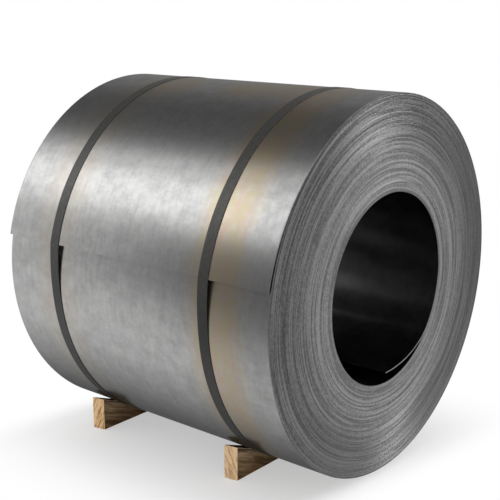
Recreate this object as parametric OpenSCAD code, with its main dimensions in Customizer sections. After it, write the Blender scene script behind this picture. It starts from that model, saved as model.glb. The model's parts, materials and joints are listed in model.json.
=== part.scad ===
// Coil of hot rolled steel strip, lying on four wedge chocks and held by two steel straps.
// X runs along the axis of the coil, Z is up, the tail hangs on the front (-Y) side,
// and the origin is on the floor under the middle of the coil.

/* [Coil] */
// Diameter of the bore that the strip is wound round
bore_d = 508; // [400:1:620]
// Outside diameter of the wound strip, at the side opposite its tail
coil_d = 1000; // [800:5:1200]
// Width of the strip, which is the length of the coil
strip_w = 905; // [600:5:1250]
// Thickness of the strip
strip_t = 3.2; // [2:0.1:6]
// Most that the slow wave sets a turn's edge back from the end of the coil
edge_wave = 2; // [0.5:0.1:5]
// How far every second turn's edge is set back from the turns beside it
edge_step = 0.7; // [0.2:0.1:2]

/* [Tail] */
// Angle of the strip's free outer edge above the axis, on the front
tail_angle = 11.5; // [0:0.1:30]
// How far the free edge springs off the turn below it
tail_lift = 5; // [1:0.1:8]
// Arc over which the tail comes off the turn below it
tail_arc = 26; // [15:1:40]

/* [Straps] */
// Width of the strapping
strap_w = 32; // [19:1:40]
// Thickness of the strapping
strap_t = 1; // [0.6:0.1:1.6]
// Length over which the two ends of a strap lie on each other
strap_lap = 130; // [90:1:200]
// From the far end of the coil to the middle of the far strap
strap_far_inset = 186; // [130:1:250]
// From the near end of the coil to the middle of the near strap
strap_near_inset = 195; // [60:1:250]

/* [Seals] */
// Length of the seal that is crimped round a strap's two ends
seal_l = 57; // [40:1:80]
// Thickness of the seal's sheet
seal_t = 1; // [0.6:0.1:1.5]
// Radius of a crimp notch in the seal's edge
seal_notch_r = 4; // [3:0.5:6]
// Angle of the seals above the axis, on the back
seal_angle = 35; // [10:1:80]

/* [Chocks] */
// Length of a chock from its toe to its outer end
chock_l = 221; // [180:1:280]
// Width of a chock along the coil
chock_w = 40; // [30:1:80]
// Height of a chock's outer end
chock_h = 97; // [80:1:120]
// Height of a chock's blunt toe
chock_toe_h = 10; // [4:1:25]
// Clear height between the floor and the coil
coil_lift = 25; // [15:1:35]
// From the far end of the coil to the middle of the far chocks
chock_far_inset = 85; // [45:1:125]
// From the near end of the coil to the middle of the near chocks
chock_near_inset = 300; // [255:1:400]

/* [Hidden] */
$fn = 240;
// Room left between two pieces where one is seated on the other
seat_gap = 0.3;
// How far a cutting shape runs past what it cuts
overrun = 5;
// Width of the slit under the tail at its root
tail_slit = 0.3;
// How far a strap's straight run dips into the round runs at its ends, so that they cross cleanly
bridge_dip = 0.1;

// The wave on the ends of the coil: degrees for each turn, and where it starts on each end
wave_pitch = 23;
wave_near = 70;
wave_far = 200;

bore_r = bore_d / 2;
coil_r = coil_d / 2;

// The outside of the coil is a spiral of two half turns. The last half turn ends at the tail,
// and the half turn before it starts one strip thickness lower, under the tail.
// These centres and radii are about the bore's axis, in a frame whose +X points at the tail.
last_centre = [strip_t / 4, 0];
last_r = coil_r + strip_t / 4;
under_centre = [-strip_t / 4, 0];
under_r = coil_r - strip_t / 4;

// The tail is the end of the last half turn, moved out square to its root until its free edge
// stands off by the lift
tail_edge_r = last_r + tail_lift;
tail_shift = tail_edge_r * sin(tail_arc) - sqrt(pow(last_r, 2) - pow(tail_edge_r * cos(tail_arc), 2));
tail_centre = last_centre + tail_shift * [sin(tail_arc), cos(tail_arc)];
// The plain stretch of the last half turn overlaps the tail's root, half way to where their arcs cross
tail_root_at = tail_shift / 4 / last_r * 180 / PI - tail_arc;

// Angle of the tail round the axis, and the reach of a shape that covers the whole section
tail_turn = 180 - tail_angle;
reach = 2 * coil_r;
slice_steps = 6;

// How far the last half turn's centre lies to the side of the axis and above it.
// The under half turn's centre lies as far the other way.
spiral_side = strip_t / 4 * cos(tail_turn);
spiral_rise = strip_t / 4 * sin(tail_turn);

// Height of the bore's axis, which puts the under half turn's lowest point at the clear height
axis_z = coil_lift + under_r + spiral_rise;

// Turns that are cut on the ends, the last one past the tail
turn_count = ceil((tail_edge_r + strip_t + overrun - bore_r) / strip_t);

// Places along the axis
strap_far_x = strap_far_inset - strip_w / 2;
strap_near_x = strip_w / 2 - strap_near_inset;
chock_far_x = chock_far_inset - strip_w / 2;
chock_near_x = strip_w / 2 - chock_near_inset;

// Strap ends and seal, as angles round the last half turn
strap_in_r = last_r + seat_gap;
lap_out_r = strap_in_r + 2 * strap_t;
seal_in_r = lap_out_r + seat_gap;
seal_out_r = seal_in_r + seal_t;
seal_turn = seal_angle - tail_turn;
lap_half_turn = strap_lap / 2 / lap_out_r * 180 / PI;
seal_half_turn = seal_l / 2 / seal_out_r * 180 / PI;
seal_in_w = strap_w + 2 * seat_gap;
seal_out_w = seal_in_w + 2 * seal_t;
// Place of a crimp notch between the middle and the end of the seal
notch_share = 0.45;

// A chock's slope lies against the under half turn, so it sets how far out the chock stands
chock_slope = atan2(chock_h - chock_toe_h, chock_l);
chock_out = (chock_h - coil_lift - under_r + (under_r + seat_gap) / cos(chock_slope)) / tan(chock_slope);
chock_in = chock_out - chock_l;

// Inner radius of a turn, counted from the bore
function turn_in_r(turn) = bore_r + turn * strip_t;

// How far a turn's edge lies inside the end of the coil
function set_back(turn, wave_start) =
    edge_wave * (1 + sin(turn * wave_pitch + wave_start)) / 2 + (turn % 2) * edge_step;

// Distance of the tail's outer corner from the axis, for a shape that is "over" outside the coil
function tail_corner(over) =
    tail_centre.x + sqrt(pow(last_r + over, 2) - pow(tail_centre.y, 2));

// Point where a strap that comes straight off the tail's corner meets the half turn below
function bridge_foot(over) =
    let (turn = acos((under_r + over) / (tail_corner(over) - under_centre.x)))
    under_centre + (under_r + over - bridge_dip) * [cos(turn), sin(turn)];

// Carries a section in the tail's frame along the axis of the coil, half to each side
module along_axis(length) {
    rotate([90, 0, 90])
        linear_extrude(length, center = true)
            rotate(tail_turn)
                children();
}

module disc(centre, r) {
    translate(centre)
        circle(r = r);
}

// Part of a disc between two angles, seen from "apex"
module disc_slice(centre, r, apex, from, to) {
    step = (to - from) / slice_steps;
    rim = [for (k = [0:slice_steps]) apex + reach * [cos(from + k * step), sin(from + k * step)]];
    intersection() {
        disc(centre, r);
        polygon(concat([apex], rim));
    }
}

// Outline of a band drawn tight round the coil, "over" outside the strip
module wrap_outline(over) {
    disc_slice(last_centre, last_r + over, last_centre, -180, tail_root_at);
    disc_slice(tail_centre, last_r + over, last_centre, -tail_arc, 0);
    disc_slice(under_centre, under_r + over, under_centre, 0, 180);
    polygon([under_centre, [tail_corner(over) - bridge_dip, 0], bridge_foot(over)]);
}

// Section of the wound strip without its bore: the turns below, two half turns round them,
// and the tail over its open slit
module coil_section() {
    circle(r = coil_r - 2 * strip_t);
    disc_slice(last_centre, last_r, last_centre, -180, tail_root_at);
    disc_slice(last_centre, last_r - strip_t - tail_slit, last_centre, -tail_arc, 0);
    disc_slice(under_centre, under_r, under_centre, 0, 180);
    difference() {
        disc_slice(tail_centre, last_r, last_centre, -tail_arc, 0);
        disc(tail_centre, last_r - strip_t);
    }
}

// Turned body with the bore, whose ends show the edge of every turn
module turned_body() {
    near_edges = [
        for (turn = [0:turn_count - 1], side = [0:1])
            [turn_in_r(turn + side), strip_w / 2 - set_back(turn, wave_near)]
    ];
    far_edges = [
        for (turn = [turn_count - 1:-1:0], side = [1:-1:0])
            [turn_in_r(turn + side), set_back(turn, wave_far) - strip_w / 2]
    ];
    rotate([0, 90, 0])
        rotate_extrude()
            polygon(concat(near_edges, far_edges));
}

module steel_coil() {
    color("slategray")
        translate([0, 0, axis_z])
            intersection() {
                turned_body();
                along_axis(strip_w + overrun)
                    coil_section();
            }
}

// Flat steel band round the coil, with its two ends lapped on each other under the seal
module strap(x) {
    color("dimgray")
        translate([x, 0, axis_z])
            along_axis(strap_w)
                difference() {
                    union() {
                        wrap_outline(seat_gap + strap_t);
                        disc_slice(last_centre, lap_out_r, last_centre,
                            seal_turn - lap_half_turn, seal_turn + lap_half_turn);
                    }
                    wrap_outline(seat_gap);
                }
}

module strap_far() {
    strap(strap_far_x);
}

module strap_near() {
    strap(strap_near_x);
}

// Slice of a ring round the last half turn, as long as the seal
module seal_slice() {
    difference() {
        disc_slice(last_centre, seal_out_r, last_centre,
            seal_turn - seal_half_turn, seal_turn + seal_half_turn);
        disc(last_centre, strap_in_r);
    }
}

// Sheet steel channel that wraps the lapped strap ends, with two crimp notches in each edge
module seal(x) {
    color("gray")
        translate([x, 0, axis_z])
            difference() {
                along_axis(seal_out_w)
                    seal_slice();
                along_axis(seal_in_w)
                    disc(last_centre, seal_in_r);
                for (side = [-1, 1], end = [-1, 1])
                    translate([0, spiral_side, spiral_rise])
                        rotate([seal_angle + end * notch_share * seal_half_turn - 90, 0, 0])
                            translate([side * seal_out_w / 2, 0, strap_in_r - overrun])
                                cylinder(r = seal_notch_r, h = seal_out_r - strap_in_r + 2 * overrun);
            }
}

module seal_far() {
    seal(strap_far_x);
}

module seal_near() {
    seal(strap_near_x);
}

// Sawn wedge of softwood, its slope towards the coil; "side" is -1 in front and 1 behind
module chock(x, side) {
    color("burlywood")
        translate([x, -spiral_side, 0])
            rotate([90, 0, 90])
                linear_extrude(chock_w, center = true)
                    polygon([
                        [side * chock_in, 0],
                        [side * chock_in, chock_toe_h],
                        [side * chock_out, chock_h],
                        [side * chock_out, 0]
                    ]);
}

module chock_front_far() {
    chock(chock_far_x, -1);
}

module chock_front_near() {
    chock(chock_near_x, -1);
}

module chock_back_far() {
    chock(chock_far_x, 1);
}

module chock_back_near() {
    chock(chock_near_x, 1);
}

steel_coil();
strap_far();
strap_near();
seal_far();
seal_near();
chock_front_far();
chock_front_near();
chock_back_far();
chock_back_near();
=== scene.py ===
"""Looks of the steel coil: a wound strip on four wooden chocks, held by two flat straps.

Lengths are in metres and angles in radians. X runs along the coil's axis, with the near end
at +X. Angles go round the axis from +Y towards +Z, and the strip's radius grows with them.
"""
import json
import math

import bpy
import numpy as np
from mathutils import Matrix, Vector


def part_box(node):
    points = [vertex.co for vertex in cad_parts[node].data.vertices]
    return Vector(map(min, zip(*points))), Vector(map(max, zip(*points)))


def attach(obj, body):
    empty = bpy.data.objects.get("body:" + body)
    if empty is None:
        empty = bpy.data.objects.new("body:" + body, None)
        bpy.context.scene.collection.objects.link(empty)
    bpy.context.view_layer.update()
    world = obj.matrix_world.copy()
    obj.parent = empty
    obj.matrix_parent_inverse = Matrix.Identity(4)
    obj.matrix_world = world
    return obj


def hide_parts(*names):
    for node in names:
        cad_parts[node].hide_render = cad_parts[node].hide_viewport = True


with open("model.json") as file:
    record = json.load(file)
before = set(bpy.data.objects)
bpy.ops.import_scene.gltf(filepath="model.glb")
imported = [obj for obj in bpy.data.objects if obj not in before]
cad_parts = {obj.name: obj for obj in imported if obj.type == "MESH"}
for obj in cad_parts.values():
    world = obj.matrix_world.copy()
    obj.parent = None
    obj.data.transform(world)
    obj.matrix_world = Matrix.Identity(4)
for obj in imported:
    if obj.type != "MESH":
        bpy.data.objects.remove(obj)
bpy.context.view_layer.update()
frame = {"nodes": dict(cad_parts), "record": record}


# Inner end of the strip: hot rolled steel, wound from its head outwards on a mandrel.
# With the mandrel drawn out, the first seventh of a turn has sprung off the wall of the bore.
bore = next(mount for mount in frame["record"]["mounts"] if mount["name"] == "bore")
axis_z = bore["pos_m"][2]
bore_r = bore["dims"]["r_mm"] / 1000
far_end, near_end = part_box("steel_coil")[0].x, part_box("steel_coil")[1].x

strip_t = 0.0032
turn_pitch = 0.00322  # the strip's thickness and the air between two turns
tail_r = 0.5016  # outside radius at the tail, before it springs
tail_at = math.radians(168.5)
head_at = math.radians(-90.5)
head_share = (tail_at - head_at) / math.tau
tail_turn = math.floor((tail_r - bore_r) / turn_pitch - head_share) + head_share  # turns from the head
head_r = tail_r - strip_t - turn_pitch * tail_turn

edge_wave = 0.0006  # slow wander of the strip's edge from turn to turn, either way
wave_per_turn = math.radians(23)
near_wave_start, far_wave_start = 1.2, 3.5
edge_jitter = 0.0005  # quick wander of the edge, from one side to the other
jitter_step = 0.37  # turns from one quick change to the next
wander = np.random.default_rng(7)
jitter_turns = np.arange(0, tail_turn + 2, jitter_step)
near_jitter = wander.random(len(jitter_turns)) - 0.5
far_jitter = wander.random(len(jitter_turns)) - 0.5

head_spring = 0.0245  # how far the head stands off the wall
head_spring_turn = 0.146  # stretch over which it has sprung
spring_ease = 0.15  # share of that stretch in which the head eases off the wall
inner_wrap_end = 1.2  # turns from the head
inner_stations, inner_columns = 320, 12  # points along and across the strip
corner_round = 0.0002
edge_flat = 0.002  # how far from an edge the faces are kept flat by a row of points
sharp_corner = math.radians(62)


def strip_r(turn):
    """Inner radius of the strip: one pitch more for every turn from the head."""
    return head_r + turn_pitch * turn


def strip_angle(turn):
    """Angle round the axis after that many turns from the head."""
    return head_at + math.tau * turn


def strip_along(turn):
    """Length of strip from the head: the turn's mean radius times its angle."""
    return math.tau * turn * (head_r + turn_pitch * turn / 2)


def near_edge(turn):
    """Place of the strip's near edge: a slow sine of the turn and a seeded jitter about the end."""
    wave = edge_wave * np.sin(turn * wave_per_turn + near_wave_start)
    return near_end - wave - edge_jitter * np.interp(turn, jitter_turns, near_jitter)


def far_edge(turn):
    """Place of the strip's far edge, by the same rule with its own start."""
    wave = edge_wave * np.sin(turn * wave_per_turn + far_wave_start)
    return far_end + wave + edge_jitter * np.interp(turn, jitter_turns, far_jitter)


def round_axis(x, r, angle):
    """Points at x along the axis, r from it and turned by the angle."""
    x, r, angle = np.broadcast_arrays(x, r, angle)
    return np.stack([x, r * np.cos(angle), axis_z + r * np.sin(angle)], axis=-1)


def wound_band(angle, inner_r, thick, low_x, high_x, along, columns):
    """A flat band carried round the axis, closed at both ends.

    Each station's section runs over the outer face, the rounded near edge, back over the inner
    face and over the far edge. Its x is the middle plus a share of the half width, and its radius
    is the inner radius, plus the thickness on the outer face, less the rounding at a corner.
    Returns points, faces, each face's side and strip places. Sides are 0 outside, 1 on the edges
    and ends, and 2 inside.
    """
    inset = 1 - 2 * edge_flat / np.mean(high_x - low_x)
    face = np.concatenate([[-1], np.linspace(-inset, inset, columns - 2), [1]])
    side = np.concatenate([face, [1, 1], -face, [-1, -1]])
    on_face = np.concatenate([np.ones(columns), [0, 0], np.ones(columns), [0, 0]])
    outer = np.concatenate([np.ones(columns), [1, 0], np.zeros(columns), [0, 1]])
    rounded = corner_round * (1 - on_face) * (1 - 2 * outer)
    middle, half = ((high_x + low_x) / 2)[:, None], ((high_x - low_x) / 2)[:, None]
    x = middle + side * (half - corner_round * on_face)
    thick = np.broadcast_to(thick, angle.shape)[:, None]
    points = round_axis(x, inner_r[:, None] + outer * thick + rounded, angle[:, None])
    place = np.stack(np.broadcast_arrays(along[:, None], x, (angle / math.tau)[:, None]), axis=-1)

    stations, size = x.shape
    index = np.arange(stations * size).reshape(stations, size)
    ahead = np.roll(index, -1, axis=1)
    quads = np.stack([index[:-1], index[1:], ahead[1:], ahead[:-1]], axis=-1).reshape(-1, 4)
    faces = quads.tolist() + [index[0].tolist(), index[-1, ::-1].tolist()]
    sides = np.tile(np.where(on_face * np.roll(on_face, -1) > 0, 2 - 2 * outer, 1), stations - 1)
    return points.reshape(-1, 3), faces, np.append(sides, [1, 1]), place.reshape(-1, 3)


def add_piece(name, materials, points, faces, sides=None, place=None):
    """Makes the mesh, with smooth faces and sharp corners.

    Sides number each face's material, and place holds each point's place on the unrolled strip.
    """
    mesh = bpy.data.meshes.new(name)
    mesh.from_pydata(points.tolist(), [], faces)
    for material in materials:
        mesh.materials.append(material)
    mesh.polygons.foreach_set("use_smooth", np.ones(len(faces), dtype=bool))
    mesh.set_sharp_from_angle(angle=sharp_corner)
    if sides is not None:
        mesh.polygons.foreach_set("material_index", np.asarray(sides, dtype=np.int32))
    if place is not None:
        strip = mesh.attributes.new("strip", "FLOAT_VECTOR", "POINT")
        strip.data.foreach_set("vector", np.asarray(place, dtype=np.float32).ravel())
    piece = bpy.data.objects.new(name, mesh)
    bpy.context.scene.collection.objects.link(piece)
    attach(piece, "root")
    return piece


def add_node(tree, kind, settings=None, **inputs):
    """One shader node. Settings are its own fields, and inputs are values or sockets to link.

    An input goes by its name, or by its number as i0, i1 and so on.
    """
    made = tree.nodes.new("ShaderNode" + kind)
    for key, value in (settings or {}).items():
        setattr(made, key, value)
    for key, value in inputs.items():
        socket = made.inputs[int(key[1:])] if key[1:].isdigit() else made.inputs[key.replace("_", " ")]
        if isinstance(value, bpy.types.NodeSocket):
            tree.links.new(value, socket)
        else:
            socket.default_value = value
    return made


def math_node(tree, operation, first, second=0.0):
    """The result of a sum on two values or sockets."""
    return add_node(tree, "Math", {"operation": operation}, i0=first, i1=second).outputs[0]


def ramp(tree, value, low, high, start=0.0, end=1.0):
    """Carries a value smoothly from the range low to high on to the range start to end."""
    return add_node(tree, "MapRange", {"interpolation_type": "SMOOTHSTEP"}, Value=value,
                    From_Min=low, From_Max=high, To_Min=start, To_Max=end).outputs[0]


def tinted(tree, factor, below, above):
    """Mixes two colours by a factor."""
    mix = add_node(tree, "Mix", {"data_type": "RGBA"}, i0=factor, i6=below, i7=above)
    return mix.outputs[2]


def new_material(name):
    """An empty node material, with its node tree and its Principled shader."""
    material = bpy.data.materials.new(name)
    material.use_nodes = True
    return material, material.node_tree, material.node_tree.nodes["Principled BSDF"]


def on_strip(tree):
    """The place on the unrolled strip: along it, across it and the count of turns."""
    return add_node(tree, "Attribute", {"attribute_name": "strip"}).outputs["Vector"]


def on_object(tree):
    """The place on the object, in metres."""
    return add_node(tree, "TexCoord").outputs["Object"]


def split(tree, place):
    """The X, Y and Z of a place."""
    return add_node(tree, "SeparateXYZ", Vector=place).outputs


def rolling_marks():
    """Node group: soft streaks along the strip and mottled clouds, both from 0 to 1.

    Streaks are noise drawn out along the strip. Clouds are noise of the strip's own flat surface
    with much fine detail, as water and scale leave them.
    """
    streak_grain, cloud_grain = (0.2, 1.0, 0.0), (1.0, 0.75, 0.0)  # density along and across
    noise_range = (0.3, 0.7)
    group = bpy.data.node_groups.new("Rolling marks", "ShaderNodeTree")
    group.interface.new_socket("Strip", in_out="INPUT", socket_type="NodeSocketVector")
    group.interface.new_socket("Streak Density", in_out="INPUT", socket_type="NodeSocketFloat")
    group.interface.new_socket("Cloud Density", in_out="INPUT", socket_type="NodeSocketFloat")
    group.interface.new_socket("Streak", in_out="OUTPUT", socket_type="NodeSocketFloat")
    group.interface.new_socket("Cloud", in_out="OUTPUT", socket_type="NodeSocketFloat")
    enter = group.nodes.new("NodeGroupInput").outputs
    leave = group.nodes.new("NodeGroupOutput").inputs
    drawn = add_node(group, "Mapping", Vector=enter["Strip"], Scale=streak_grain).outputs[0]
    streak = add_node(group, "TexNoise", Vector=drawn, Scale=enter["Streak Density"],
                      Detail=3.0, Roughness=0.6).outputs[0]
    flat = add_node(group, "Mapping", Vector=enter["Strip"], Scale=cloud_grain).outputs[0]
    cloud = add_node(group, "TexNoise", Vector=flat, Scale=enter["Cloud Density"],
                     Detail=5.0, Roughness=0.78).outputs[0]
    group.links.new(ramp(group, streak, *noise_range), leave["Streak"])
    group.links.new(ramp(group, cloud, *noise_range), leave["Cloud"])
    return group


marks_group = rolling_marks()


def add_marks(tree, strip, streak_density, cloud_density):
    """Places the rolling marks in a material and returns its streak and cloud values."""
    marks = add_node(tree, "Group", {"node_tree": marks_group}, Strip=strip,
                     Streak_Density=streak_density, Cloud_Density=cloud_density)
    return marks.outputs["Streak"], marks.outputs["Cloud"]


def bore_steel():
    """Oiled steel of the bore: streaks and clouds between two greys, smoother where it is dark."""
    dark, pale = (0.22, 0.22, 0.222, 1), (0.32, 0.32, 0.323, 1)
    smooth, rough = 0.16, 0.22
    material, tree, shader = new_material("bore_steel")
    streak, cloud = add_marks(tree, on_strip(tree), streak_density=90.0, cloud_density=9.0)
    shade = math_node(tree, "MULTIPLY", math_node(tree, "ADD", streak, cloud), 0.5)
    tree.links.new(tinted(tree, shade, dark, pale), shader.inputs["Base Color"])
    tree.links.new(ramp(tree, cloud, 0, 1, smooth, rough), shader.inputs["Roughness"])
    shader.inputs["Metallic"].default_value = 1.0
    return material


def cut_edge():
    """Edge of the strip, as the turns show it: dull grey, lighter and darker from turn to turn.

    One noise runs over the turns with a slow change round the coil, and a finer one speckles it.
    The inner turns are lighter and duller than the outer ones, which a film of dust evens towards
    the low back of the ends.
    """
    inner_dark, inner_pale = (0.124, 0.124, 0.126, 1), (0.275, 0.275, 0.278, 1)
    outer_dark, outer_pale = (0.064, 0.064, 0.066, 1), (0.184, 0.184, 0.186, 1)
    inner_rough, outer_rough = 0.54, 0.34
    inner_turns, outer_turns = 15, 60
    per_turn, per_metre = 0.95, 2.0  # how fast the slow noise changes over the turns and round the coil
    streak_range = (0.38, 0.62)
    speck_strength = 1.7
    clean_way = (0, -0.77, 0.64)  # up and to the front
    dust_fade = (0.236, 0.636)  # places that way at which the film of dust thins out
    under_dust = 0.5  # share of the contrast that shows through the film
    material, tree, shader = new_material("cut_edge")
    turn = split(tree, on_strip(tree))["Z"]
    where = on_object(tree)
    round_coil = split(tree, where)
    grouped = add_node(tree, "CombineXYZ", X=math_node(tree, "MULTIPLY", turn, per_turn),
                       Y=math_node(tree, "MULTIPLY", round_coil["Y"], per_metre),
                       Z=math_node(tree, "MULTIPLY", round_coil["Z"], per_metre)).outputs[0]
    streak = add_node(tree, "TexNoise", Vector=grouped, Scale=1.0, Detail=2.0, Roughness=0.8).outputs[0]
    speck = add_node(tree, "TexNoise", Vector=where, Scale=180.0, Detail=2.0).outputs[0]
    speckle = math_node(tree, "MULTIPLY", math_node(tree, "SUBTRACT", speck, 0.5), speck_strength)
    shade = math_node(tree, "ADD", ramp(tree, streak, *streak_range), speckle)
    high_front = add_node(tree, "VectorMath", {"operation": "DOT_PRODUCT"}, i0=where, i1=clean_way)
    clear = ramp(tree, high_front.outputs["Value"], *dust_fade, under_dust, 1.0)
    dusty = math_node(tree, "MULTIPLY", math_node(tree, "SUBTRACT", shade, 0.5), clear)
    inner = tinted(tree, shade, inner_dark, inner_pale)
    outer = tinted(tree, math_node(tree, "ADD", dusty, 0.5), outer_dark, outer_pale)
    outward = ramp(tree, turn, inner_turns, outer_turns)
    tree.links.new(tinted(tree, outward, inner, outer), shader.inputs["Base Color"])
    tree.links.new(ramp(tree, outward, 0, 1, inner_rough, outer_rough), shader.inputs["Roughness"])
    shader.inputs["Metallic"].default_value = 1.0
    return material


bore_finish = bore_steel()
edge_finish = cut_edge()

# The head springs by a sine of the share of its stretch that is left, eased where it leaves the wall.
inner_turn = np.linspace(0, inner_wrap_end, inner_stations)
sprung_share = np.clip(1 - inner_turn / head_spring_turn, 0, 1)
eased_share = sprung_share ** 2 * (1 + spring_ease) / (sprung_share + spring_ease)
inner_r = strip_r(inner_turn) - head_spring * np.sin(eased_share * math.pi / 2)
points, faces, sides, place = wound_band(
    strip_angle(inner_turn), inner_r, strip_t, far_edge(inner_turn), near_edge(inner_turn),
    strip_along(inner_turn), inner_columns)
sides[-2:] = 2  # the cut ends have darkened like the wall
inner_wrap = add_piece("strip_inner_end", [bore_finish, edge_finish, bore_finish],
                       points, faces, sides, place)
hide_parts("steel_coil")


# Wound turns: the bulk of the strip between its inner and its outer wrap, drawn tight.
# Only the edges of the turns show, on the two ends, rounded by the mill and a little out of line.
turn_steps = 144
rounding_turns = (22, 44)  # the turns between which the edges grow rounder
turn_groove = (0.0003, 0.0009)  # depth of the groove between two turns, inside and outside
turn_crown = (0.0001, 0.00036)  # rise of an edge's middle over its sides, inside and outside
crown_shares = np.array([0.17, 0.5, 0.83])  # places over the strip's thickness
turn_tilt = (0.0006, 0.0016)  # range of an edge's lean over its thickness, inside and outside
lean_step = 0.13  # turns from one lean to the next
lean_turns = np.arange(0, tail_turn + 2, lean_step)
near_lean = wander.random(len(lean_turns)) - 0.5
far_lean = wander.random(len(lean_turns)) - 0.5
outer_wrap_turns = 1.06
turns_start = inner_wrap_end
turns_count = math.floor((tail_turn - outer_wrap_turns - turns_start) * turn_steps)
turns_end = turns_start + turns_count / turn_steps


def wound_turns():
    """The turns as one closed body of two faceted ends and two walls.

    Along the strip every station has a groove point against the turn inside it and three points
    over its crowned edge. A turn's last row is the groove of the next turn, one turn further on.
    """
    groove_turn = turns_start + np.arange(turns_count + turn_steps + 1) / turn_steps
    edge_turn = groove_turn[:turns_count + 1]
    sink = np.interp(edge_turn, rounding_turns, turn_crown)[:, None] * np.array([1, 0, 1])
    tilt = np.interp(edge_turn, rounding_turns, turn_tilt)
    depth = np.interp(groove_turn, rounding_turns, turn_groove)

    def end_points(edge, lean, outward):
        """The groove points and then the edge points of one end; outward is 1 or -1."""
        deep = np.minimum(outward * edge(groove_turn), outward * edge(groove_turn - 1)) - depth
        groove = np.stack([outward * deep, strip_r(groove_turn), groove_turn], axis=-1)
        leaning = (tilt * np.interp(edge_turn, lean_turns, lean))[:, None] * (crown_shares - 0.5)
        crown_x = edge(edge_turn)[:, None] - outward * (sink + leaning)
        crown_r = strip_r(edge_turn)[:, None] + strip_t * crown_shares
        crown = np.stack(np.broadcast_arrays(crown_x, crown_r, edge_turn[:, None]), axis=-1)
        return np.concatenate([groove, crown.transpose(1, 0, 2).reshape(-1, 3)])

    ends = np.concatenate([end_points(near_edge, near_lean, 1), end_points(far_edge, far_lean, -1)])
    x, r, turn = ends.T
    points = round_axis(x, r, strip_angle(turn))
    place = np.stack([strip_along(turn), x, turn], axis=-1)

    half = len(ends) // 2
    crown = len(groove_turn) + np.arange(3 * len(edge_turn)).reshape(3, -1)
    groove = np.arange(len(groove_turn))
    rows = np.concatenate([groove[None, :turns_count + 1], crown, groove[None, turn_steps:]])
    near = np.stack([rows[:-1, :-1], rows[1:, :-1], rows[1:, 1:], rows[:-1, 1:]], axis=-1).reshape(-1, 4)
    far = near[:, ::-1] + half
    inner, outer = groove[:turn_steps + 1], groove[turns_count:]
    bore_wall = np.stack([inner[:-1], inner[1:], inner[1:] + half, inner[:-1] + half], axis=-1)
    outer_wall = np.stack([outer[:-1], outer[:-1] + half, outer[1:] + half, outer[1:]], axis=-1)
    first, last = rows[:, 0], rows[:, -1]
    caps = [np.concatenate([first + half, first[::-1]]).tolist(),
            np.concatenate([last, last[::-1] + half]).tolist()]
    faces = np.concatenate([near, far, bore_wall, outer_wall]).tolist() + caps
    return points, faces, None, place


turns = add_piece("strip_turns", [edge_finish], *wound_turns())
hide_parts("steel_coil")


# Outer wrap: the last turn of the strip, with the bright rolled face that shows.
# Its tail is held by the straps alone, and has sprung off the turn below over its last stretch.
strap_near_x = (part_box("strap_near")[0].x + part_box("strap_near")[1].x) / 2
strap_far_x = (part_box("strap_far")[0].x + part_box("strap_far")[1].x) / 2
tail_lift = 0.006
tail_lift_turn = 29 / 360
tail_curve = 1.1  # power by which the tail rises along that stretch
tail_feather = 0.002  # how much thinner the strip has rolled out at the tail's edge
wrap_seat = 0.00005
wrap_stations, wrap_columns = 420, 24
near_tint_past = 0.033  # how far the near band of tint lies past the middle of its strap
tint_bands = (  # place across the strip, distances up to which the tint is full and gone, and strength
    (strap_near_x + near_tint_past, 0.035, 0.105, 1.0),
    (strap_far_x, 0.035, 0.11, 0.3),
)
blotches = ((0.59, -0.20), (0.62, 0.06), (0.63, 0.19))  # how far before the tail's edge, and place across
blotch_reach = (0.04, 0.13)  # distances up to which a blotch is full and gone


def tail_share(turn):
    """How far along the tail: 0 up to its root, then nearly even up to 1 at its edge."""
    return np.clip((turn - tail_turn) / tail_lift_turn + 1, 0, 1) ** tail_curve


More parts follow.
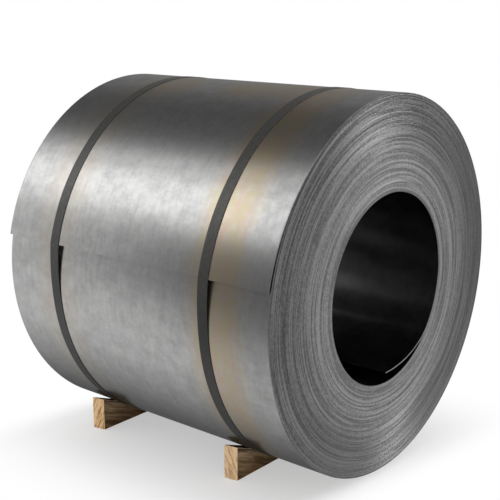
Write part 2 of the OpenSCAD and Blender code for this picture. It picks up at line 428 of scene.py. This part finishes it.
def rolled_steel():
    """Bare rolled face: mid grey with streaks, mottled clouds, and straw tints left by heat.

    A tint is strongest at its middle and fades with the distance from it: across the strip
    beside the straps, and all round for the blotches before the tail. Oil that has run down
    makes the underside glossier.
    """
    dark, pale = (0.335, 0.335, 0.333, 1), (0.475, 0.475, 0.472, 1)
    straw_yellow, straw_red = (0.45, 0.398, 0.272, 1), (0.485, 0.37, 0.288, 1)
    streak_share, cloud_share = 0.3, 0.7
    patch_grain, patch_range = (0.3, 1.0, 0.0), (0.38, 0.64)  # the grain is density along and across
    tint_ragged = 0.06  # range of a tint's edge about its distance
    cloud_range, cloud_tint = (0.1, 0.9), 0.65  # share of the tint that the palest clouds leave
    dull, bright = 0.34, 0.30  # roughness of the dark and of the pale marks
    oily_heights, oily_share = (0.1, 0.33), 0.45  # share of the roughness that the oil leaves
    material, tree, shader = new_material("rolled_steel")
    strip = on_strip(tree)
    streak, cloud = add_marks(tree, strip, streak_density=75.0, cloud_density=24.0)
    shade = math_node(tree, "ADD", math_node(tree, "MULTIPLY", streak, streak_share),
                      math_node(tree, "MULTIPLY", cloud, cloud_share))
    colour = tinted(tree, shade, dark, pale)
    drawn = add_node(tree, "Mapping", Vector=strip, Scale=patch_grain).outputs[0]
    patch = add_node(tree, "TexNoise", Vector=drawn, Scale=42.0, Detail=3.0).outputs[0]
    straw = tinted(tree, ramp(tree, patch, *patch_range), straw_yellow, straw_red)
    bend = math_node(tree, "MULTIPLY", math_node(tree, "SUBTRACT", patch, 0.5), tint_ragged)
    patchy = ramp(tree, cloud, *cloud_range, 1.0, cloud_tint)
    across = split(tree, strip)["Y"]

    def lay_tint(below, distance, full, gone, strength):
        """Lays the straw tint, full up to one distance and gone at the other, with a ragged edge."""
        ragged = math_node(tree, "ADD", distance, bend)
        share = math_node(tree, "MULTIPLY", ramp(tree, ragged, full, gone, strength, 0.0), patchy)
        return tinted(tree, share, below, straw)

    for middle, *reach in tint_bands:
        aside = math_node(tree, "ABSOLUTE", math_node(tree, "SUBTRACT", across, middle))
        colour = lay_tint(colour, aside, *reach)
    for before_tail, middle in blotches:
        centre = (strip_along(tail_turn) - before_tail, middle, tail_turn)
        apart = add_node(tree, "VectorMath", {"operation": "SUBTRACT"}, i0=strip, i1=centre).outputs[0]
        flat = add_node(tree, "VectorMath", {"operation": "MULTIPLY"}, i0=apart, i1=(1, 1, 0)).outputs[0]
        away = add_node(tree, "VectorMath", {"operation": "LENGTH"}, i0=flat).outputs["Value"]
        colour = lay_tint(colour, away, *blotch_reach, 1.0)
    tree.links.new(colour, shader.inputs["Base Color"])
    height = split(tree, on_object(tree))["Z"]
    rough = math_node(tree, "MULTIPLY", ramp(tree, shade, 0, 1, dull, bright),
                      ramp(tree, height, *oily_heights, oily_share, 1.0))
    tree.links.new(rough, shader.inputs["Roughness"])
    shader.inputs["Metallic"].default_value = 1.0
    bump = add_node(tree, "Bump", Height=cloud, Strength=0.03, Distance=0.001)
    tree.links.new(bump.outputs[0], shader.inputs["Normal"])
    return material


wrap_turn = np.linspace(turns_end, tail_turn, wrap_stations)
wrap_off = wrap_seat + (tail_lift + tail_feather) * tail_share(wrap_turn)
wrap_t = strip_t - tail_feather * tail_share(wrap_turn)
outer_wrap = add_piece("strip_outer_wrap", [rolled_steel(), edge_finish, bore_finish], *wound_band(
    strip_angle(wrap_turn), strip_r(wrap_turn) + wrap_off, wrap_t,
    far_edge(wrap_turn), near_edge(wrap_turn), strip_along(wrap_turn), wrap_columns))
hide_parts("steel_coil")


# Straps: flat steel bands, blued and waxed, with painted shade that darkens them on the coil's lower half.
# They are pulled tight round the coil. Each comes down a little slack from the tail's edge to the
# turn below, and its ends lap under a seal.
strap_t = 0.001
strap_gap = 0.0003
lap_gap = strap_gap / 3
strap_lap = 0.130
strap_lap_half = strap_lap / 2 / tail_r  # as an angle
strap_ramp = math.radians(5)  # how far before the lap the strap rises over its other end
strap_run = math.radians(18)  # how far past the tail's edge the strap comes down on the turn below
strap_slack = 1.6  # power by which the strap comes down along that run
seal_at = math.radians(35)
strap_stations, strap_columns = 900, 4
strap_marks = {"streak_density": 300.0, "cloud_density": 110.0}


def strap_seat(angle):
    """Radius of the strap's inner face: the wrap below it, and past the tail's edge a slack run.

    Over the run the strap's height above the turn below falls with a power of the way left.
    """
    behind = np.mod(tail_at - angle, math.tau) / math.tau
    turn = tail_turn - behind
    seat = strip_r(turn) + strip_t + tail_lift * tail_share(turn) + strap_gap
    drop = tail_r + tail_lift - strip_r(tail_turn - 1) - strip_t
    way_left = np.clip(1 - math.tau * (1 - behind) / strap_run, 0, 1)
    return seat + drop * way_left ** strap_slack


def blued_and_shaded_steel(name, place):
    """Blued and waxed strapping: near black, with fine streaks and clouds by the given place.

    The upper half is paler with painted light, and the lower half dark with painted shade.
    """
    shade_dark, shade_pale = (0.005, 0.005, 0.0045, 1), (0.017, 0.0165, 0.015, 1)
    lit_dark, lit_pale = (0.023, 0.023, 0.021, 1), (0.062, 0.06, 0.055, 1)
    shade_heights = (0.48, 0.68)
    dull, glossy = 0.38, 0.32  # roughness of the dark and of the pale marks
    material, tree, shader = new_material(name)
    streak, cloud = add_marks(tree, place(tree), **strap_marks)
    shade = math_node(tree, "MULTIPLY", math_node(tree, "ADD", streak, cloud), 0.5)
    height = split(tree, on_object(tree))["Z"]
    # painted shade on the lower half, painted light on the upper half, chosen by height
    in_shade = tinted(tree, shade, shade_dark, shade_pale)
    rubbed = tinted(tree, shade, lit_dark, lit_pale)
    colour = tinted(tree, ramp(tree, height, *shade_heights), in_shade, rubbed)
    tree.links.new(colour, shader.inputs["Base Color"])
    tree.links.new(ramp(tree, shade, 0, 1, dull, glossy), shader.inputs["Roughness"])
    shader.inputs["Specular IOR Level"].default_value = 0.42
    return material


def shaded_underside():
    """Inner face of the straps: painted black as the shade under them, in streaks and clouds."""
    dark, pale = (0.004, 0.004, 0.004, 1), (0.02, 0.02, 0.019, 1)
    dull, glossy = 0.7, 0.5  # roughness of the dark and of the pale marks
    material, tree, shader = new_material("strap_underside")
    streak, cloud = add_marks(tree, on_strip(tree), **strap_marks)
    shade = math_node(tree, "MULTIPLY", streak, cloud)
    tree.links.new(tinted(tree, shade, dark, pale), shader.inputs["Base Color"])
    tree.links.new(ramp(tree, shade, 0, 1, dull, glossy), shader.inputs["Roughness"])
    shader.inputs["Specular IOR Level"].default_value = 0.2
    return material


strap_finish = blued_and_shaded_steel("strap_steel", on_strip)
underside_finish = shaded_underside()
strap_angle = np.linspace(seal_at - strap_lap_half, seal_at + math.tau + strap_lap_half, strap_stations)
lap_start = seal_at + math.tau - strap_lap_half
over_lap = np.clip((strap_angle - lap_start) / strap_ramp + 1, 0, 1)
strap_r = strap_seat(strap_angle) + (strap_t + lap_gap) * over_lap
for node in ("strap_far", "strap_near"):
    low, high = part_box(node)
    level = np.ones_like(strap_angle)
    strap = add_piece(node + "_band", [strap_finish, strap_finish, underside_finish], *wound_band(
        strap_angle, strap_r, strap_t, low.x * level, high.x * level, strap_angle * tail_r, strap_columns))
    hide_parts(node)


# Seals: short channels of sheet steel, crimped over the lapped strap ends at the back.
# They keep their solids, in the same blued finish as the straps.
seal_finish = blued_and_shaded_steel("seal_steel", on_object)
for node in ("seal_far", "seal_near"):
    for held in frame["nodes"][node].material_slots:
        held.material = seal_finish


# Chocks: wedges sawn from softwood, driven under the coil in front and behind.
# Their ends are fresh cut, a little out of square. The long faces are brown with age and painted
# shade, and the slopes are painted black as the shade under the coil, which reaches a little way
# down the long faces.
chock_toe = 0.010
chock_rub, rub_steps = 0.0012, 3  # how far the edges are rubbed off, and the steps round them
chock_skew = 0.007  # how far the far side of an outer end stands out past its near side
shade_reach = 0.016  # how far the painted shade under the coil reaches down the long faces
chock_low, chock_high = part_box("chock_front_far")
chock_slope = math.atan2(chock_high.z - chock_low.z - chock_toe, chock_high.y - chock_low.y)
slope_start = chock_toe + chock_high.y * math.tan(chock_slope)  # the slope's height at y = 0
slope_grain = {"turned": (chock_slope, 0, 0), "drawn_out": (1, 9, 1), "density": 75.0}
end_grain = {"turned": (0, math.radians(-20), 0), "drawn_out": (1, 4, 6), "density": 110.0}
layer_range, fibre_range = (0.38, 0.62), (0.45, 0.75)


def sawn_layers(tree, turned, drawn_out, density):
    """The wood's growth layers: noise in turned axes, drawn out along them, and its fine fibres.

    The place is folded about the coil's middle, so that the layers follow the slope of each wedge.
    """
    folded = add_node(tree, "VectorMath", {"operation": "ABSOLUTE"}, i0=on_object(tree)).outputs[0]
    along = add_node(tree, "Mapping", {"vector_type": "TEXTURE"}, Vector=folded, Rotation=turned,
                     Scale=drawn_out).outputs[0]
    layers = add_node(tree, "TexNoise", Vector=along, Scale=density, Detail=4.0, Roughness=0.65,
                      Distortion=0.6).outputs[0]
    fibre = add_node(tree, "TexNoise", Vector=along, Scale=4 * density, Detail=3.0).outputs[0]
    return layers, fibre


def finish_wood(tree, shader, colour, fibre):
    """Gives the wood its colour, and a fibrous surface."""
    rough, smooth = 0.9, 0.7
    tree.links.new(colour, shader.inputs["Base Color"])
    tree.links.new(ramp(tree, fibre, 0, 1, rough, smooth), shader.inputs["Roughness"])
    bump = add_node(tree, "Bump", Height=fibre, Strength=0.35, Distance=0.0008)
    tree.links.new(bump.outputs[0], shader.inputs["Normal"])


def fresh_wood():
    """Fresh sawn end: pale wood with orange brown streaks where the growth layers cross it.

    Paler fibres lie over both, and painted light makes the near chocks a little paler than the far ones.
    """
    orange_brown, pale_wood = (0.43, 0.215, 0.078, 1), (0.90, 0.58, 0.285, 1)
    palest = (0.98, 0.76, 0.50, 1)
    fibre_share = 0.6
    near_places, near_light_share = (-0.3, 0.1), 0.25  # from the far chocks to the near ones
    end_range = (0.42, 0.55)
    material, tree, shader = new_material("fresh_wood")
    layers, fibre = sawn_layers(tree, **end_grain)
    colour = tinted(tree, ramp(tree, layers, *end_range), orange_brown, pale_wood)
    place_x = split(tree, on_object(tree))["X"]
    # painted light: the near chocks are made paler than the far ones
    pale = math_node(tree, "ADD", ramp(tree, fibre, *fibre_range, 0.0, fibre_share),
                     ramp(tree, place_x, *near_places, 0.0, near_light_share))
    finish_wood(tree, shader, tinted(tree, pale, colour, palest), fibre)
    return material


def aged_and_shaded_wood():
    """Long face: brown wood with layers along its slope, darker and redder towards its foot.

    Its brown is partly age and partly painted shade from the coil over it. Dark fibres lie over it.
    Just below the slope it is painted darker still, as the shade under the coil, by the depth under
    a line that rises with the slope from the coil's middle.
    """
    foot_dark, foot_pale = (0.10, 0.045, 0.012, 1), (0.24, 0.135, 0.052, 1)
    upper_dark, upper_pale = (0.20, 0.122, 0.058, 1), (0.54, 0.375, 0.215, 1)
    fibre_brown, shade_brown = (0.12, 0.068, 0.03, 1), (0.065, 0.047, 0.025, 1)
    foot_height = 0.075
    fibre_share = 0.5
    material, tree, shader = new_material("aged_and_shaded_wood")
    layers, fibre = sawn_layers(tree, **slope_grain)
    place = split(tree, on_object(tree))
    layer = ramp(tree, layers, *layer_range)
    foot = tinted(tree, layer, foot_dark, foot_pale)
    upper = tinted(tree, layer, upper_dark, upper_pale)
    colour = tinted(tree, ramp(tree, place["Z"], 0.0, foot_height), foot, upper)
    colour = tinted(tree, ramp(tree, fibre, *fibre_range, 0.0, fibre_share), colour, fibre_brown)
    # painted shade under the coil, just below the slope
    rise = math_node(tree, "MULTIPLY", math_node(tree, "ABSOLUTE", place["Y"]), math.tan(chock_slope))
    below = math_node(tree, "SUBTRACT", math_node(tree, "ADD", rise, slope_start), place["Z"])
    colour = tinted(tree, ramp(tree, below, 0.0, shade_reach), shade_brown, colour)
    finish_wood(tree, shader, colour, fibre)
    return material


def shaded_slope_wood():
    """Slope under the coil: wood painted nearly black as the shade under the coil."""
    dark, pale = (0.025, 0.016, 0.008, 1), (0.08, 0.05, 0.028, 1)
    material, tree, shader = new_material("shaded_slope_wood")
    layers, fibre = sawn_layers(tree, **slope_grain)
    finish_wood(tree, shader, tinted(tree, ramp(tree, layers, *layer_range), dark, pale), fibre)
    return material


def sawn_wedge(far_x, near_x, toe_y, end_y, top_z, skew):
    """A wedge: a profile of four corners carried along X from its far side to its near side.

    The profile goes up the toe, up the slope to the top and down the outer end. On the far side
    the outer end is moved along Y by the skew.
    """
    y = np.array([toe_y, toe_y, end_y, end_y])
    z = np.array([0, chock_toe, top_z, 0])
    far = np.stack([np.full(4, far_x), y + skew * np.array([0, 0, 1, 1]), z], axis=-1)
    near = np.stack([np.full(4, near_x), y, z], axis=-1)
    ring = np.arange(4)
    walls = np.stack([ring, (ring + 1) % 4, (ring + 1) % 4 + 4, ring + 4], axis=-1)
    return np.concatenate([far, near]), np.concatenate([walls, [ring[::-1], ring + 4]])


chock_finishes = [fresh_wood(), aged_and_shaded_wood(), shaded_slope_wood()]
chock_sides = [0, 2, 0, 1, 1, 1]  # toe, slope, outer end, foot and the two long faces
for node in ("chock_front_far", "chock_front_near", "chock_back_far", "chock_back_near"):
    low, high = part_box(node)
    if "front" in node:
        points, faces = sawn_wedge(low.x, high.x, high.y, low.y, high.z, -chock_skew)
        faces = faces[:, ::-1]
    else:
        points, faces = sawn_wedge(low.x, high.x, low.y, high.y, high.z, chock_skew)
    chock = add_piece(node + "_wedge", chock_finishes, points, faces.tolist(), chock_sides)
    rub = chock.modifiers.new("rubbed edges", "BEVEL")
    rub.width, rub.segments, rub.material = chock_rub, rub_steps, 0
    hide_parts(node)


# Floor: pale matt paper of the studio, which isn't part of the object and keeps its soft shadow.
# Round the object the paper fades to plain white, so that no edge of it shows.
floor_half = 20.0
floor_grey = (0.86, 0.86, 0.86, 1)
floor_plain = 0.46  # share of plain white in the floor under the object
floor_fade_x, floor_fade_y = (0.38, 0.58), (0.22, 0.78)  # where the floor fades to plain white
floor_middle = -0.02
floor_slant = 0.15  # how far the fade's middle moves along X for each metre of Y


def level_corners(z, front_y, back_y, front_x, back_x=None):
    """Corners of a level sheet at height z: its front edge between two X, then its back edge."""
    back_x = back_x or front_x
    return [(front_x[0], front_y, z), (front_x[1], front_y, z),
            (back_x[1], back_y, z), (back_x[0], back_y, z)]


def stage_card(name, corners, material):
    """A flat four-sided card of the studio, which isn't part of the object."""
    mesh = bpy.data.meshes.new(name)
    mesh.from_pydata(corners, [], [(0, 1, 2, 3)])
    mesh.materials.append(material)
    card = bpy.data.objects.new(name, mesh)
    bpy.context.scene.collection.objects.link(card)
    return card


def seen_rays(tree):
    """1 for the rays that show the background: to the camera, off gloss or through glass."""
    path = add_node(tree, "LightPath").outputs
    direct = math_node(tree, "MAXIMUM", path["Is Camera Ray"], path["Is Glossy Ray"])
    return math_node(tree, "MAXIMUM", direct, path["Is Transmission Ray"])


def floor_paint():
    """Pale matt floor, mixed with plain white that grows with the distance from the object.

    The share of plain white falls where a ramp over X and a ramp over Y are both low.
    """
    material, tree, shader = new_material("floor_paint")
    shader.inputs["Base Color"].default_value = floor_grey
    shader.inputs["Roughness"].default_value = 1.0
    shader.inputs["Specular IOR Level"].default_value = 0.0
    place = split(tree, on_object(tree))
    along = math_node(tree, "SUBTRACT", place["X"], math_node(tree, "MULTIPLY", place["Y"], floor_slant))
    aside = math_node(tree, "ABSOLUTE", math_node(tree, "SUBTRACT", along, floor_middle))
    shaded_x = ramp(tree, aside, *floor_fade_x, 1.0, 0.0)
    shaded_y = ramp(tree, math_node(tree, "ABSOLUTE", place["Y"]), *floor_fade_y, 1.0, 0.0)
    shaded = math_node(tree, "MULTIPLY", shaded_x, shaded_y)
    white = math_node(tree, "MULTIPLY", seen_rays(tree), ramp(tree, shaded, 0, 1, 1.0, floor_plain))
    plain = add_node(tree, "Emission", Color=(1, 1, 1, 1), Strength=1.0)
    mix = add_node(tree, "MixShader", Fac=white, i1=shader.outputs[0], i2=plain.outputs[0])
    tree.links.new(mix.outputs[0], tree.nodes["Material Output"].inputs["Surface"])
    return material


floor_span = (-floor_half, floor_half)
stage_card("floor", level_corners(0, *floor_span, floor_span), floor_paint())


# Cards: glowing greys round the coil that only the gloss of the metal sees. They paint the reflected
# dark and bright bands on the skin and the ends, and the under mat paints the shade under the coil
# into them. Small brown flags by the front chocks paint the chocks' shade into the gloss instead of
# the pale wood.
card_y = -2.8  # place of the front card, and of the front mat's front edge
mat_z = 0.001
flag_gap = 0.004  # how far the flags stand off the chocks' outer ends and near sides, and over them
front_grey = (0.11, 0.11, 0.11, 1)
shade_flag_brown = (0.034, 0.026, 0.016, 1)


def even_paint(name, colour):
    """Paint of a card that shows one colour, whatever light falls on it."""
    material, _, shader = new_material(name)
    shader.inputs["Base Color"].default_value = (0, 0, 0, 1)
    shader.inputs["Specular IOR Level"].default_value = 0.0
    shader.inputs["Emission Strength"].default_value = 1.0
    shader.inputs["Emission Color"].default_value = colour
    return material


def graded_paint(name, axis, places, greys):
    """Paint whose grey goes smoothly from one level to the other between two places on an axis."""
    material = even_paint(name, (0, 0, 0, 1))
    tree = material.node_tree
    grey = ramp(tree, split(tree, on_object(tree))[axis], *places, *greys)
    tree.links.new(grey, tree.nodes["Principled BSDF"].inputs["Emission Color"])
    return material


overhead_corners = [(-8, -0.85, 2.9), (0.7, -0.85, 2.9), (0.2, 4.5, 0), (-8, 4.5, 0)]
front_corners = [(-2.35, card_y, 0), (0.5, card_y, 0), (0.5, card_y, 3.4), (-2.35, card_y, 1.9)]
cards = [
    stage_card("overhead_card", overhead_corners,
               graded_paint("overhead_paint", "Z", places=(1.78, 2.2), greys=(0.28, 0.1))),
    stage_card("front_card", front_corners, even_paint("front_paint", front_grey)),
    # painted reflection of the floor in front, in shade away from the coil
    stage_card("front_shade_mat", level_corners(2 * mat_z, card_y, -0.6, front_x=(-2.0, 3), back_x=(0.04, 3)),
               graded_paint("front_shade_mat_paint", "Y", places=(-1.9, -0.75), greys=(0.2, 0.7))),
    # painted reflection of the shade under the coil, darkest right under it
    stage_card("under_shade_mat", level_corners(mat_z, -0.85, 0.6, front_x=(-1.5, 0.42)),
               graded_paint("under_shade_paint", "Y", places=(-0.85, -0.15), greys=(0.98, 0.10))),
    stage_card("back_mat", level_corners(mat_z, 1.3, 6, front_x=(0.5, 5)),
               graded_paint("back_mat_paint", "Y", places=(1.3, 2.0), greys=(0.6, 0.4))),
]
# painted shade: brown glowing flags that show in the gloss in place of the chocks' pale ends and near
# sides
shade_flag_paint = even_paint("shade_flag_paint", shade_flag_brown)
for node in ("chock_front_far", "chock_front_near"):
    low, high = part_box(node)
    flag_x, flag_z = high.x + flag_gap, high.z + flag_gap
    far_y, near_y = low.y - chock_skew - flag_gap, low.y - flag_gap
    end_corners = [(low.x, far_y, 0), (flag_x, near_y, 0),
                   (flag_x, near_y, flag_z), (low.x, far_y, flag_z)]
    side_corners = [(flag_x, near_y, 0), (flag_x, high.y, 0),
                    (flag_x, high.y, chock_toe), (flag_x, near_y, flag_z)]
    cards.append(stage_card(node + "_end_flag", end_corners, shade_flag_paint))
    cards.append(stage_card(node + "_side_flag", side_corners, shade_flag_paint))
for card in cards:
    card.visible_camera = card.visible_diffuse = card.visible_shadow = False
    card.visible_transmission = card.visible_volume_scatter = False


# Light: even white light from all round, a wide soft box to the upper left, and a tall one behind
# to the right. The background shows plain white, and gives a little less light than it shows.
sky_light, sky_shown = 0.9, 1.0

world = bpy.data.worlds.new("studio")
bpy.context.scene.world = world
world.use_nodes = True
sky = world.node_tree
background = sky.nodes["Background"]
background.inputs["Color"].default_value = (1, 1, 1, 1)
sky.links.new(ramp(sky, seen_rays(sky), 0, 1, sky_light, sky_shown), background.inputs["Strength"])


def soft_box(name, place, turned, width, height, watts):
    """A rectangular lamp, facing down before it is turned about X, Y and Z by degrees."""
    lamp = bpy.data.lights.new(name, "AREA")
    lamp.shape, lamp.size, lamp.size_y, lamp.energy = "RECTANGLE", width, height, watts
    box = bpy.data.objects.new(name, lamp)
    box.location = place
    box.rotation_euler = [math.radians(angle) for angle in turned]
    box.visible_camera = False
    bpy.context.scene.collection.objects.link(box)


soft_box("key_box", place=(-2.75, -1.99, 2.63), turned=(41, 0, 0), width=3.1, height=1.3, watts=17.4)
soft_box("back_box", place=(2.5, 2.38, 1.7), turned=(-71, 0, -40), width=0.7, height=1.5, watts=34)


# Camera: it looks along the front of the coil at its near end, from a little above.
# Its place and lens are those from which the coil's outlines fall as they do in the photograph.
camera_sensor, camera_lens = 36.0, 74.21  # millimetres
camera_shift = 0.0412  # share of the picture's side by which the view is moved up
camera_x, camera_y, camera_rise = 1.8035, -2.1887, 0.7471  # the rise is over the coil's axis
camera_dip, camera_turn = 15.304, 39.71  # degrees below level, and from straight back to the left

camera_data = bpy.data.cameras.new("camera")
camera_data.sensor_width = camera_sensor
camera_data.lens = camera_lens
camera_data.shift_y = camera_shift
camera = bpy.data.objects.new("camera", camera_data)
camera.location = (camera_x, camera_y, axis_z + camera_rise)
camera.rotation_euler = (math.radians(90 - camera_dip), 0, math.radians(camera_turn))
bpy.context.scene.collection.objects.link(camera)
bpy.context.scene.camera = camera
bpy.context.scene.view_settings.view_transform = "Standard"
